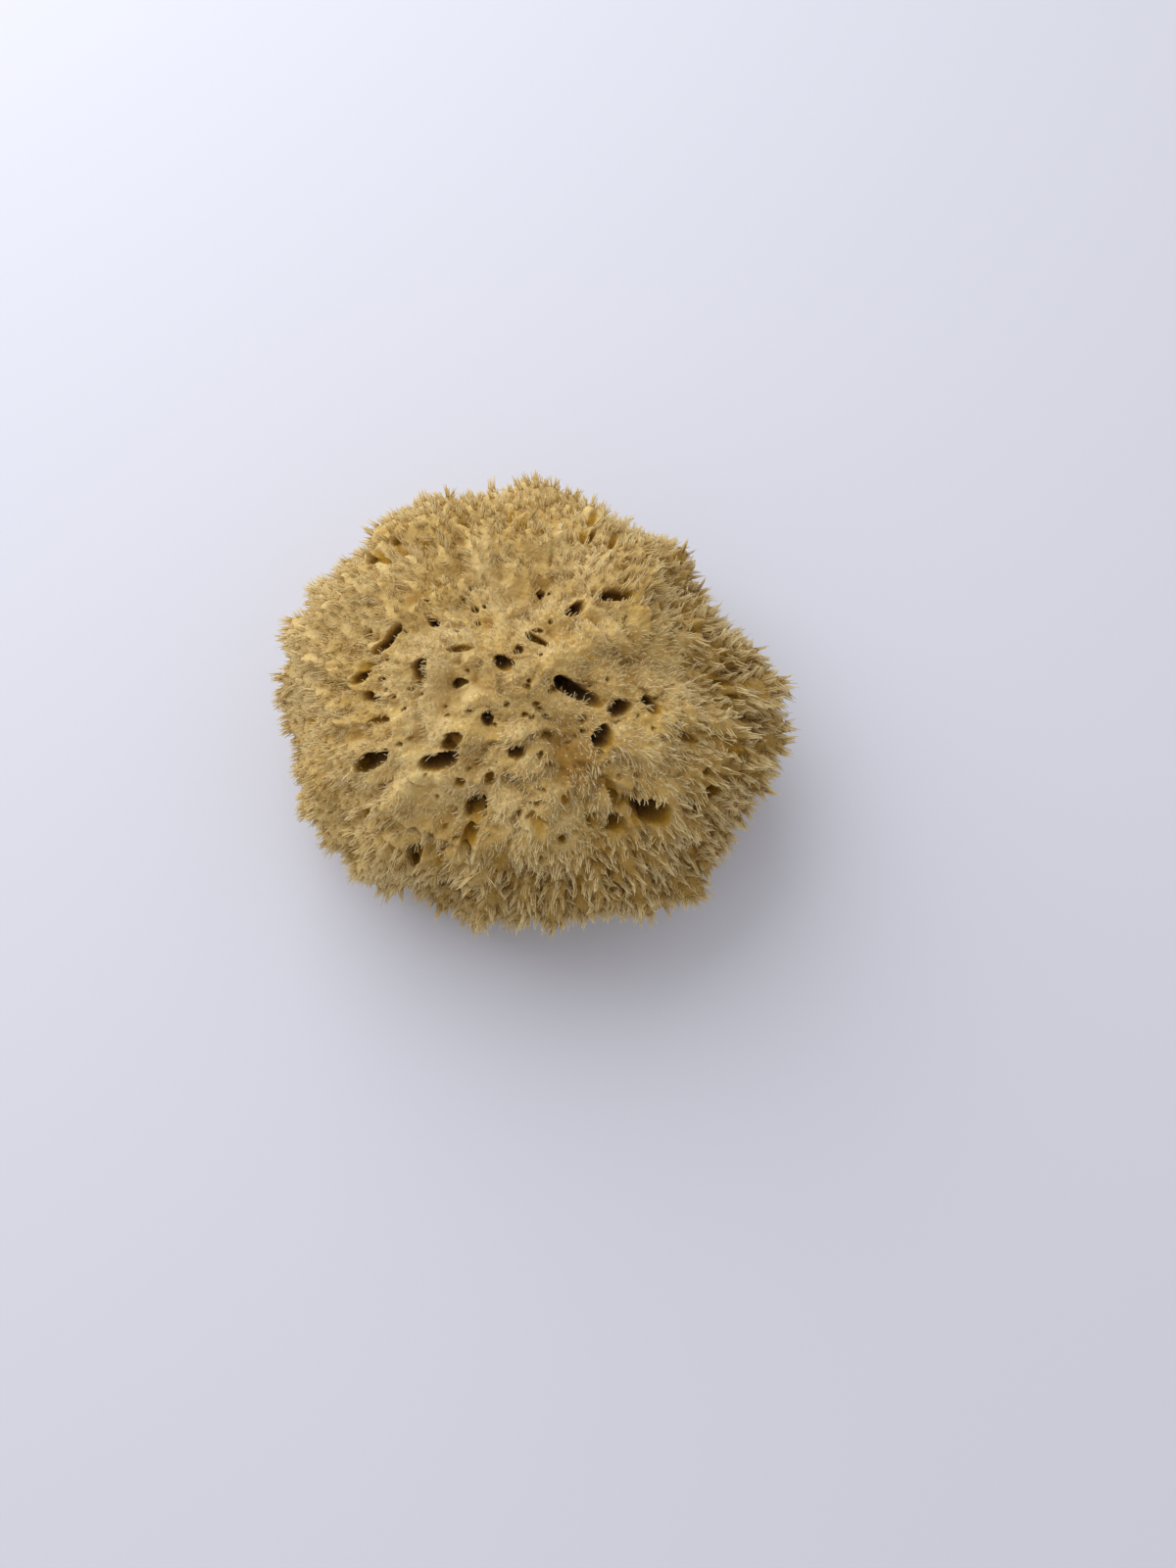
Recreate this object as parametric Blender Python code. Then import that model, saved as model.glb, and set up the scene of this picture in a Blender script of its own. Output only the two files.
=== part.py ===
"""A sea wool sponge, which is one piece: a furry bun full of water pores.

It lies on the flat cut where it was taken off the sea bed, with its domed face up.
Metres, +Z up, and the origin is the middle of the cut. The photograph looks down on
the face from -Y, so the pores that it shows are placed on a plane facing that eye.
"""

import math
import random
from collections import namedtuple

import bmesh
import bpy
from mathutils import Vector, noise

MM = 0.001

# Driving dimensions
WIDTH = 135 * MM  # along X, across the tips of the fur where nothing swells
LENGTH = 126 * MM  # along Y, likewise
HEIGHT = 72 * MM  # from the cut to the tips on top, likewise
FUR = 5.5 * MM  # how far the longest tufts stand out of the body
WAIST = 26 * MM  # the widest level, above the cut
TUCK_DEPTH = 35 * MM  # how far below the waist the underside would close if it weren't cut
FULLNESS = 2.35  # exponent of the bun's superellipse; 2 is an ellipsoid

# Swells and hollows of the whole outline: azimuth, elevation, spread in degrees, rise in mm
SWELLS = [
    (4, 5, 13, 8),
    (36, 5, 26, -13),
    (42, 0, 9, -12),
    (76, 0, 13, -1),
    (103, 10, 9, -2.5),
    (126, 0, 13, -11),
    (162, 0, 8, -4),
    (181, 0, 8, 3),
    (220, -5, 16, 3),
    (243, 0, 12, -4),
    (265, -10, 14, 3),
    (300, 0, 8, 5),
    (315, 0, 13, 2),
    (343, 5, 8, 5),
    (100, 60, 26, -3),
    (200, 62, 22, 1),
    (300, 58, 24, 1),
]

# Rounded lumps all over the body: size and height of each kind
LUMPS = [(20 * MM, 5 * MM), (9 * MM, 2.4 * MM)]

# The eye of the photograph, and the plane through the sponge that faces it
EYE_DISTANCE = 331 * MM
EYE_ELEVATION = math.radians(70)
FACE_HEIGHT = 25 * MM
SIGHT_STEPS = 400  # of a millimetre each, from the eye to past the sponge

# Pores that the photograph shows, in mm on that plane: across, up, long and short
# widths of the mouth, turn of its long side in degrees, and depth
FACE_PORES = [
    (13, 2.5, 13.5, 4.5, -28, 15),
    (24.5, -2, 7, 4.5, 20, 13),
    (33.5, -1, 5, 3.5, -40, 12),
    (20.5, -11, 6.5, 4.5, 35, 14),
    (-4, -14, 4, 3.5, 0, 10),
    (-12, -5, 3.5, 3.5, 0, 10),
    (34.5, -30.5, 9.5, 6.5, -20, 15),
    (23.5, -33.5, 5.5, 5, 80, 8),
    (-25, -17, 10, 4.5, 12, 13),
    (-22, -11, 6, 4.5, 30, 8),
    (-44.5, -17, 9.5, 4.5, 22, 11),
    (23.5, 29.5, 9, 3.5, 5, 10),
    (12.5, 25.5, 6, 3, 35, 9),
    (-7.5, 10.5, 5.5, 3.5, -20, 9),
    (-39, 16.5, 11, 3.5, 40, 9),
    (-30, 8.5, 5, 4, 70, 8),
    (-14.5, -29, 7, 5.5, 70, 10),
    (-33, -43.5, 9, 4.5, 65, 10),
    (51, -25, 5, 4, 0, 9),
    (60, -4.5, 6, 3, 0, 8),
]

# Pores on the sides that the photograph hides: azimuth and elevation from the waist,
# both in degrees, then the same four sizes in mm and degrees
HIDDEN_PORES = [
    (62, 18, 8, 5, 10, 12),
    (88, 4, 6, 4.5, 60, 10),
    (112, 22, 10, 5, -20, 13),
    (140, 6, 7, 4.5, 30, 11),
    (262, -12, 8, 4.5, 0, 10),
]

# Finish
COLOUR = (0.62, 0.43, 0.19, 1)
ROUGHNESS = 0.9

# Facets, tufts and the round-bottomed pore cutters
BODY_SUBDIVISIONS = 5
SNAP_TO_CUT = 1.4 * MM  # corners nearer the cut than this move onto it
CUT_TOLERANCE = 0.01 * MM
SLIVER = 0.1 * MM  # faces that lie lower than this are left out with the cut
SHORTEST_TUFT = 0.5  # share of FUR
TUFT_CLEARANCE = 2.2 * MM  # between a tuft and the rim of a pore
LOWEST_TIP = 0.6 * MM
SCATTER = 0.016  # breaks up the rows of facets, as a share of the ball's radius
SCATTER_WAVES = 37
PORE_SIDES = 8
PORE_RINGS = [(-0.6, 1.1), (0.05, 1.0), (0.45, 0.92), (0.8, 0.66)]  # depth share, width share
PORE_BEND = 0.18
SEED = 11

WAIST_CENTRE = Vector((0, 0, WAIST))
UP = Vector((0, 0, 1))

# inward runs down the middle of the pore; side and other are the mouth's two widths
Pore = namedtuple("Pore", "mouth inward side other long short depth")


def empty_scene():
    for thing in list(bpy.data.objects):
        bpy.data.objects.remove(thing, do_unlink=True)


def heading(azimuth, elevation):
    """The unit vector at these angles in degrees, with azimuth 0 along +X."""
    turn = math.radians(azimuth)
    lift = math.radians(elevation)
    return Vector((math.cos(turn) * math.cos(lift), math.sin(turn) * math.cos(lift), math.sin(lift)))


def body_reach(outward):
    """How far the bare body stands out from the middle of the waist along a unit vector."""
    half_height = HEIGHT - WAIST - FUR if outward.z > 0 else TUCK_DEPTH
    halves = (WIDTH / 2 - FUR, LENGTH / 2 - FUR, half_height)
    total = sum(abs(part / half) ** FULLNESS for part, half in zip(outward, halves))
    reach = total ** (-1 / FULLNESS)
    for azimuth, elevation, spread, rise in SWELLS:
        apart = math.degrees(outward.angle(heading(azimuth, elevation)))
        reach += rise * MM * math.exp(-((apart / spread) ** 2))
    for size, height in LUMPS:
        reach += height * noise.noise(outward * reach / size)
    return reach


def body_point(outward):
    return WAIST_CENTRE + outward * body_reach(outward)


def eye_and_face_axes():
    """The photograph's eye, and the across and up directions of the plane that faces it."""
    towards_eye = Vector((0, -math.cos(EYE_ELEVATION), math.sin(EYE_ELEVATION)))
    across = Vector((1, 0, 0))
    return UP * FACE_HEIGHT + towards_eye * EYE_DISTANCE, across, towards_eye.cross(across)


def seen_point(across_mm, up_mm):
    """Where the line from the eye through a point of the face plane meets the body."""
    eye, across, upward = eye_and_face_axes()
    target = UP * FACE_HEIGHT + (across * across_mm + upward * up_mm) * MM
    sight = (target - eye).normalized()
    reached = eye
    for _ in range(SIGHT_STEPS):
        from_waist = reached - WAIST_CENTRE
        if from_waist.length < body_reach(from_waist.normalized()):
            break
        reached = reached + sight * MM
    return reached, sight


def pore(mouth, inward, level, rise, sizes):
    """A pore whose long side is turned from level towards rise, from sizes in mm and degrees."""
    long, short, turn, depth = sizes
    side = level * math.cos(math.radians(turn)) + rise * math.sin(math.radians(turn))
    side = (side - inward * side.dot(inward)).normalized()
    return Pore(mouth, inward, side, inward.cross(side), long * MM, short * MM, depth * MM)


def all_pores():
    """The pores on the face, leaning away from the eye, and then those on the hidden sides."""
    pores = []
    _, across, upward = eye_and_face_axes()
    for across_mm, up_mm, *sizes in FACE_PORES:
        mouth, sight = seen_point(across_mm, up_mm)
        inward = (sight + (WAIST_CENTRE - mouth).normalized()).normalized()
        pores.append(pore(mouth, inward, across, upward, sizes))
    for azimuth, elevation, *sizes in HIDDEN_PORES:
        outward = heading(azimuth, elevation)
        level = UP.cross(outward).normalized()
        pores.append(pore(body_point(outward), -outward, level, outward.cross(level), sizes))
    return pores


def cutter_mesh(name, hole):
    """A bent, round-bottomed finger that opens one pore."""
    shape = bmesh.new()
    rings = []
    for deep, wide in PORE_RINGS:
        middle = hole.mouth + hole.depth * (hole.inward * deep + hole.other * PORE_BEND * deep * abs(deep))
        ring = []
        for step in range(PORE_SIDES):
            angle = 2 * math.pi * step / PORE_SIDES
            along = hole.side * math.cos(angle) * hole.long / 2
            athwart = hole.other * math.sin(angle) * hole.short / 2
            ring.append(shape.verts.new(middle + (along + athwart) * wide))
        rings.append(ring)
    for upper, lower in zip(rings, rings[1:]):
        for step in range(PORE_SIDES):
            after = (step + 1) % PORE_SIDES
            shape.faces.new((upper[step], upper[after], lower[after], lower[step]))
    shape.faces.new(rings[0])
    bottom = shape.verts.new(hole.mouth + hole.depth * (hole.inward + hole.other * PORE_BEND))
    for step in range(PORE_SIDES):
        shape.faces.new((rings[-1][step], rings[-1][(step + 1) % PORE_SIDES], bottom))
    bmesh.ops.recalc_face_normals(shape, faces=shape.faces)
    mesh = bpy.data.meshes.new(name)
    shape.to_mesh(mesh)
    shape.free()
    return mesh


def add_cutters(pores):
    """Every pore's cutter, in a collection that the build and a render leave out."""
    cutters = bpy.data.collections.new("pore_cutters")
    bpy.context.scene.collection.children.link(cutters)
    for index, hole in enumerate(pores, 1):
        name = f"pore_{index}"
        cutter = bpy.data.objects.new(name, cutter_mesh(name, hole))
        cutter.hide_render = True
        cutter.display_type = "WIRE"
        cutters.objects.link(cutter)
    return cutters


def near_a_pore(point, pores):
    for hole in pores:
        offset = point - hole.mouth
        along = offset.dot(hole.side) / (hole.long / 2 + TUFT_CLEARANCE)
        athwart = offset.dot(hole.other) / (hole.short / 2 + TUFT_CLEARANCE)
        if along**2 + athwart**2 < 1 and offset.length < hole.depth:
            return True
    return False


def cut_flat(shape):
    """Takes the underside off at z = 0, so that the body has a level base."""
    for vertex in shape.verts:
        if abs(vertex.co.z) < SNAP_TO_CUT:
            vertex.co.z = 0
    everything = shape.verts[:] + shape.edges[:] + shape.faces[:]
    bmesh.ops.bisect_plane(
        shape, geom=everything, dist=CUT_TOLERANCE, plane_co=(0, 0, 0), plane_no=UP, clear_inner=True
    )
    slivers = [face for face in shape.faces if max(vertex.co.z for vertex in face.verts) < SLIVER]
    bmesh.ops.delete(shape, geom=slivers, context="FACES")
    rim = [edge for edge in shape.edges if edge.is_boundary]
    for edge in rim:
        for vertex in edge.verts:
            vertex.co.z = 0
    bmesh.ops.contextual_create(shape, geom=rim)


def raise_tufts(shape, pores):
    """Pulls facets that don't touch along an edge out to points, which stand for the tufts."""
    chooser = random.Random(SEED)
    facets = [face for face in shape.faces if len(face.verts) == 3]
    chooser.shuffle(facets)
    chosen = set()
    for facet in facets:
        neighbours = {other for edge in facet.edges for other in edge.link_faces}
        middle = facet.calc_center_median()
        tip = middle + (middle - WAIST_CENTRE).normalized() * FUR
        if not (neighbours & chosen or near_a_pore(middle, pores) or near_a_pore(tip, pores)):
            chosen.add(facet)
    for tip in bmesh.ops.poke(shape, faces=sorted(chosen, key=lambda face: face.index))["verts"]:
        outward = (tip.co - WAIST_CENTRE).normalized()
        tip.co += outward * FUR * chooser.uniform(SHORTEST_TUFT, 1)
        tip.co.z = max(tip.co.z, LOWEST_TIP)


def sponge_material():
    material = bpy.data.materials.new("sponge")
    material.use_nodes = True
    shader = material.node_tree.nodes["Principled BSDF"]
    shader.inputs["Base Color"].default_value = COLOUR
    shader.inputs["Roughness"].default_value = ROUGHNESS
    shader.inputs["Metallic"].default_value = 0
    return material


def build_sponge():
    noise.seed_set(SEED)  # the vector noise would differ each run without it
    pores = all_pores()
    shape = bmesh.new()
    bmesh.ops.create_icosphere(shape, subdivisions=BODY_SUBDIVISIONS, radius=1)
    for vertex in shape.verts:
        scatter = noise.noise_vector(vertex.co * SCATTER_WAVES) * SCATTER
        vertex.co = body_point((vertex.co + scatter).normalized())
    cut_flat(shape)
    shape.faces.index_update()
    raise_tufts(shape, pores)
    bmesh.ops.recalc_face_normals(shape, faces=shape.faces)
    mesh = bpy.data.meshes.new("sponge")
    shape.to_mesh(mesh)
    shape.free()
    mesh.materials.append(sponge_material())
    sponge = bpy.data.objects.new("sponge", mesh)
    bpy.context.scene.collection.objects.link(sponge)
    opened = sponge.modifiers.new("pores", "BOOLEAN")
    opened.operand_type = "COLLECTION"
    opened.collection = add_cutters(pores)
    opened.operation = "DIFFERENCE"
    opened.solver = "EXACT"


empty_scene()
build_sponge()
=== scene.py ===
import math
import random

import bmesh
import bpy
import numpy as np
from mathutils import Matrix, Vector, noise
from mathutils.kdtree import KDTree


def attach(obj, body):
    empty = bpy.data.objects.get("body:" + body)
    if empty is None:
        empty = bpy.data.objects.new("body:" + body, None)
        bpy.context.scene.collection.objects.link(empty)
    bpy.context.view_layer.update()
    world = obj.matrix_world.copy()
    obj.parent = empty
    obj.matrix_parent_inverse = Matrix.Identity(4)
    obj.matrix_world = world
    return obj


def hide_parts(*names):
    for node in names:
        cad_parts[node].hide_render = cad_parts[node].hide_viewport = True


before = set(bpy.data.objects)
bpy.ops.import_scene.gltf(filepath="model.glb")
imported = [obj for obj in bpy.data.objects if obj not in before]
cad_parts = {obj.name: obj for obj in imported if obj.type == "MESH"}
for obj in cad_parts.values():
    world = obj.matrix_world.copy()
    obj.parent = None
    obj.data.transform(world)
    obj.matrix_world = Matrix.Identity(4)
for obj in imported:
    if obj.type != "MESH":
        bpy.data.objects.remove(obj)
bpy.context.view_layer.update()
mm = 0.001
noise.seed_set(11)  # the vector noise would differ each run without it

# where the photograph was taken from: the eye looks at a point inside the sponge,
# which stands at pixel spongeAt of a 1200 x 1600 picture
photo = {
    "size": (1200, 1600),
    "focalPixels": 1209,
    "spongeAt": (541, 716),
    "eyeDistance": 331 * mm,
    "eyeElevation": 70,
    "aimHeight": 25 * mm,
    "filmLength": 36,  # mm, along the longer side of the picture
    # a search along a line of sight starts this far before the aim
    "searchFrom": 90 * mm,
    "searchStep": 0.7 * mm,
    "searchSteps": 170,
}

# the bun that part.py cuts: the same driving sizes, swells, lumps and pores
bun = {
    "width": 135 * mm,
    "length": 126 * mm,
    "height": 72 * mm,
    "fur": 5.5 * mm,
    "waist": 26 * mm,
    "tuckDepth": 35 * mm,
    "fullness": 2.35,
    # azimuth, elevation, spread in degrees, rise in mm
    "swells": [
        (4, 5, 13, 8), (36, 5, 26, -13), (42, 0, 9, -12), (76, 0, 13, -1), (103, 10, 9, -2.5),
        (126, 0, 13, -11), (162, 0, 8, -4), (181, 0, 8, 3), (220, -5, 16, 3), (243, 0, 12, -4),
        (265, -10, 14, 3), (300, 0, 8, 5), (315, 0, 13, 2), (343, 5, 8, 5), (100, 60, 26, -3),
        (200, 62, 22, 1), (300, 58, 24, 1),
    ],
    "lumps": [(20 * mm, 5 * mm), (9 * mm, 2.4 * mm)],
}

# mm on the plane that faces the eye: across, up, long and short widths, turn in degrees, depth
facePores = [
    (13, 2.5, 13.5, 4.5, -28, 15), (24.5, -2, 7, 4.5, 20, 13), (33.5, -1, 5, 3.5, -40, 12),
    (20.5, -11, 6.5, 4.5, 35, 14), (-4, -14, 4, 3.5, 0, 10), (-12, -5, 3.5, 3.5, 0, 10),
    (34.5, -30.5, 9.5, 6.5, -20, 15), (23.5, -33.5, 5.5, 5, 80, 8), (-25, -17, 10, 4.5, 12, 13),
    (-22, -11, 6, 4.5, 30, 8), (-44.5, -17, 9.5, 4.5, 22, 11), (23.5, 29.5, 9, 3.5, 5, 10),
    (12.5, 25.5, 6, 3, 35, 9), (-7.5, 10.5, 5.5, 3.5, -20, 9), (-39, 16.5, 11, 3.5, 40, 9),
    (-30, 8.5, 5, 4, 70, 8), (-14.5, -29, 7, 5.5, 70, 10), (-33, -43.5, 9, 4.5, 65, 10),
    (51, -25, 5, 4, 0, 9), (60, -4.5, 6, 3, 0, 8),
]
smallPores = [
    (2.5, 29.5, 2.8, 2.2, -15, 8), (-15, 25, 2, 1.5, 0, 4), (-26, 21.5, 3.6, 2.4, -25, 8),
    (-44, 18.5, 2.5, 1.6, 70, 6), (-47, 6.5, 5.5, 2.4, 35, 8), (-43, 1, 4.5, 2.4, -10, 7),
    (-20, 5, 4.6, 2.2, 15, 8), (-36.5, 10.5, 4, 2, 0, 3), (-19, 14.5, 7, 1.8, 5, 4),
    (-3, 14, 2.6, 2, 50, 5), (2.5, 17, 6.5, 1.8, -20, 7), (-36.5, 43.5, 3.6, 2.6, -60, 4),
    (-43, 38.5, 4, 2.6, 0, 4), (-6.5, 51, 3.6, 1.4, 90, 3), (6, 39, 4.4, 1.3, 85, 3),
    (17, 45.5, 4.6, 1.6, 65, 5), (26.5, 22.5, 2.6, 1.2, 90, 4), (27, 10.5, 8, 3.4, 0, 2.5),
    (41.5, 7.5, 4, 2.6, 0, 2.5), (57, 1, 5, 2.2, 5, 5), (54, 5, 4.6, 1.6, -10, 4),
    (14, -5, 2.6, 2.6, 0, 5), (4.5, -10, 2.6, 1.8, 20, 4), (3, -15, 2.2, 1.6, 0, 4),
    (10.5, -11.5, 2.2, 1.6, 0, 2.5), (43, -9.5, 6.4, 2.4, -25, 6), (49.5, -19.5, 2.4, 2.2, 0, 6),
    (29.5, -26.5, 2.8, 2.2, 0, 5), (10, -27, 3.6, 2.2, 80, 5), (15, -27, 2.8, 2.2, 0, 3),
    (3.5, -28, 2.8, 2.2, 0, 3), (-3.5, -31.5, 2.4, 2, 90, 5), (9, -39, 1.8, 1.7, 0, 6),
    (12.5, -36, 2.8, 2.2, 45, 3), (19, -44.5, 2.8, 1.6, 0, 5), (24, -44, 4, 2.2, 0, 3),
    (30.5, -53.5, 4, 2.2, 0, 2.5), (35.5, -54.5, 3, 2.5, 60, 2.5), (46.5, -39.5, 4, 1.8, -20, 4),
    (25.5, -21.5, 4, 2.6, 0, 2.5), (-41.5, -5.5, 4.8, 2.2, 5, 5), (-47.5, -10, 7, 5, 0, 3),
    (-31, -4.5, 2.6, 2.5, 0, 3), (-15, -18.5, 6, 4.5, 90, 2.5), (-19.5, -22.5, 2.8, 2.2, 0, 5),
    (-11, -21.5, 3.6, 2.4, 90, 5), (-17, -37.5, 7, 3.6, 70, 6), (-27.5, -41.5, 6, 3.5, 70, 3),
    (-25.5, -45.5, 5.5, 2.6, 80, 3), (-40.5, -23.5, 3.6, 2.2, 0, 3), (-38.5, -35.5, 5.6, 2.2, 10, 3),
    (-18.5, -51.5, 13, 3.5, 0, 2.5), (-48.5, -42.5, 8, 3.4, -15, 5), (24.5, -27, 5, 3.5, 0, 6),
]
# azimuth and elevation from the waist in degrees, then the same four sizes
hiddenPores = [
    (62, 18, 8, 5, 10, 12), (88, 4, 6, 4.5, 60, 10), (112, 22, 10, 5, -20, 13),
    (140, 6, 7, 4.5, 30, 11), (262, -12, 8, 4.5, 0, 10),
]


def unitHeading(azimuth, elevation):
    turn = math.radians(azimuth)
    lift = math.radians(elevation)
    return np.array((math.cos(turn) * math.cos(lift), math.sin(turn) * math.cos(lift), math.sin(lift)))


def unit(vectors):
    return vectors / np.linalg.norm(vectors, axis=-1, keepdims=True)


def smooth(values, low, high):
    share = np.clip((values - low) / (high - low), 0, 1)
    return share * share * (3 - 2 * share)


def growing(pair, values):
    # the pair holds the least, and what is added to it where the values are 1
    least, gain = pair
    return least + gain * values


def noiseAt(points):
    return np.array([noise.noise(point) for point in points.tolist()])


waistCentre = np.array((0, 0, bun["waist"]))
sight = -unitHeading(-90, photo["eyeElevation"])
faceAcross = np.array((1.0, 0, 0))
faceUp = np.cross(faceAcross, sight)
faceMiddle = np.array((0, 0, photo["aimHeight"]))
eye = faceMiddle - sight * photo["eyeDistance"]
# where each noise is read, so that no two look alike
shifts = {"billows": 7.3, "grain": 3.1, "ledges": 2.2, "gaps": 9.1, "patches": 4.7, "walls": 5.5}


# The bare body, from which the pores are cut and the tufts grow

relief = {
    "warp": (12 * mm, 3 * mm),
    "billows": (8.5 * mm, 2.8 * mm),  # round swellings with creases between them
    "billowTop": 0.45,
    "billowDrop": 0.75,
    "billowGrowth": (0.8, 0.2),  # with coarseness
    "billowCreases": (0.02, 0.17),
    "grain": [(2.6 * mm, 0.3 * mm), (1.3 * mm, 0.3 * mm)],
    "crown": (9, -4),  # mm on the face plane: the fur parts here
    "ledgeStep": 12 * mm,
    "ledgeHeight": 2.6 * mm,
    "ledgeRound": 0.35,  # how much the ledges bend round the crown
    "ledgeWander": (19 * mm, 1.1),
    "ledgeGaps": (15 * mm, -0.12, 0.22),  # no ledge stands where this noise is low
    "ledgeDrop": (0.88, 1.0),
    "lipRise": (0.62, 0.82),
    "lipFall": (0.92, 0.98),
    "faceHalves": (44 * mm, 33 * mm),
    "faceShift": 9 * mm,
    "faceEdge": (0.7, 1.25),
    "coarseHeading": (0.8, 0.6),  # to the right and down
    "coarseFrom": (-35 * mm, 30 * mm),
    "rays": 120,  # ridges that run out to the rim
    "rayLength": 11 * mm,
    "rayHeight": 1.6 * mm,
    "rayStart": (26 * mm, 50 * mm),
    "rayCreases": (0.05, 0.4),
    "thickness": 0.4 * mm,  # of the matted fur that the body stands for
}


def bunReach(outward):
    halfWidth = bun["width"] / 2 - bun["fur"]
    halfLength = bun["length"] / 2 - bun["fur"]
    halfTop = bun["height"] - bun["waist"] - bun["fur"]
    halfHeights = np.where(outward[:, 2] > 0, halfTop, bun["tuckDepth"])
    ones = np.ones(len(outward))
    halves = np.stack([ones * halfWidth, ones * halfLength, halfHeights], 1)
    reach = (np.abs(outward / halves) ** bun["fullness"]).sum(1) ** (-1 / bun["fullness"])
    for azimuth, elevation, spread, rise in bun["swells"]:
        cosine = np.clip(outward @ unitHeading(azimuth, elevation), -1, 1)
        reach += rise * mm * np.exp(-((np.degrees(np.arccos(cosine)) / spread) ** 2))
    for size, height in bun["lumps"]:
        reach += height * noiseAt(outward * reach[:, None] / size)
    return reach


def fromCrown(points):
    offset = points - faceMiddle
    return offset @ faceAcross - relief["crown"][0] * mm, offset @ faceUp - relief["crown"][1] * mm


def ledgePhase(points):
    across, upward = fromCrown(points)
    down = relief["ledgeRound"] * np.hypot(across, upward) - upward
    wanderSize, wander = relief["ledgeWander"]
    phase = (down / relief["ledgeStep"] + wander * noiseAt(points / wanderSize + shifts["ledges"])) % 1
    gapSize, low, high = relief["ledgeGaps"]
    return phase, smooth(noiseAt(points / gapSize + shifts["gaps"]), low, high)


def ledgesAt(points):
    # broken shelves that slope gently outward and drop steeply, each over the next
    phase, share = ledgePhase(points)
    return relief["ledgeHeight"] * (phase - smooth(phase, *relief["ledgeDrop"])) * share


def lipsAt(points):
    phase, share = ledgePhase(points)
    return smooth(phase, *relief["lipRise"]) * (1 - smooth(phase, *relief["lipFall"])) * share


def billowsAt(points):
    warpSize, warp = relief["warp"]
    warps = np.array([noise.noise_vector(point) for point in (points / warpSize).tolist()])
    return np.abs(noiseAt((points + warps * warp) / relief["billows"][0] + shifts["billows"]))


def furAt(points):
    # 0 on the face, where there are curls, and 1 where there is fur
    across, upward = fromCrown(points)
    halfAcross, halfUp = relief["faceHalves"]
    away = np.hypot((across + relief["faceShift"]) / halfAcross, upward / halfUp)
    return smooth(away, *relief["faceEdge"])


def coarseAt(points):
    # 0 at the upper left, where the fur is short and soft, and 1 at the lower right
    across, upward = fromCrown(points)
    right, down = relief["coarseHeading"]
    return smooth(right * across - down * upward, *relief["coarseFrom"])


def raysAt(points):
    across, upward = fromCrown(points)
    around = np.arctan2(upward, across)
    away = np.hypot(across, upward)
    turns = relief["rays"] / (2 * math.pi)
    places = np.stack([np.cos(around) * turns, np.sin(around) * turns, away / relief["rayLength"]], 1)
    return noiseAt(places) * smooth(away, *relief["rayStart"])


def creasesAt(outward):
    points = waistCentre + outward * bunReach(outward)[:, None]
    atBillows = 1 - smooth(billowsAt(points), *relief["billowCreases"])
    return np.maximum(atBillows, smooth(-raysAt(points), *relief["rayCreases"]))


def bodyPoints(outward):
    reach = bunReach(outward)
    points = waistCentre + outward * reach[:, None]
    coarse = coarseAt(points)
    billows = 2 * np.minimum(billowsAt(points), relief["billowTop"]) - relief["billowDrop"]
    reach += relief["billows"][1] * billows * growing(relief["billowGrowth"], coarse)
    reach += ledgesAt(points)
    reach += relief["rayHeight"] * raysAt(points) * (1 + coarse)
    reach += relief["thickness"] * furAt(points)
    for size, height in relief["grain"]:
        reach += height * noiseAt(points / size + shifts["grain"])
    # below the waist the body stops at the cut, which is flat
    downward = np.minimum(outward[:, 2], -1e-6)
    reach = np.where(outward[:, 2] < 0, np.minimum(reach, -bun["waist"] / downward), reach)
    return waistCentre + outward * reach[:, None]


def seenPoints(rows):
    # where the lines from the eye through these points of the face plane meet the body
    places = np.array([row[:2] for row in rows]) * mm
    targets = faceMiddle + places[:, :1] * faceAcross + places[:, 1:] * faceUp
    lines = unit(targets - eye)
    travelled = np.full(len(rows), photo["eyeDistance"] - photo["searchFrom"])
    for _ in range(photo["searchSteps"]):
        fromWaist = eye + lines * travelled[:, None] - waistCentre
        distance = np.linalg.norm(fromWaist, axis=1)
        surface = np.linalg.norm(bodyPoints(fromWaist / distance[:, None]) - waistCentre, axis=1)
        travelled = np.where(distance > surface, travelled + photo["searchStep"], travelled)
    return eye + lines * travelled[:, None], lines


# Pores

poreSettings = {
    "unevenness": 0.2,
    "waves": (0.3, 1),  # how strongly each wave of the outline shows
    "waveStarts": (0, 6.3),
    "ragged": (3.2 * mm, 0.12),
    "nearby": (0.6, 4 * mm),  # a share of the pore's length, and a margin
    "farAway": 9.0,
    "upperSide": (0.85, 0.5),  # up and to the left, where the walls overhang
    "undercut": 0.35,  # how far the bottom runs up under the upper lip
    "scoop": 0.42,  # how much shallower the lower side is
    "softDepth": 3.2 * mm,  # anything shallower is a soft dip
    "walls": (1.7 * mm, 0.35),  # lumps on the walls
    "peaksInside": 0.3,  # what is left of the tufts' peaks
    "shadeTone": (0.85, 0.15),  # darker up to the upper side, under the overhanging lip: painted shade
    # painted shade in the soft dips, and the depth at which a pore's painted shade is full
    "softShadeTone": 0.12,
    "fullShadeDepth": 12 * mm,
    "faceDrop": 2,  # mm from the middle of the face plane to that of its dips
    "seed": 23,
}
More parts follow.
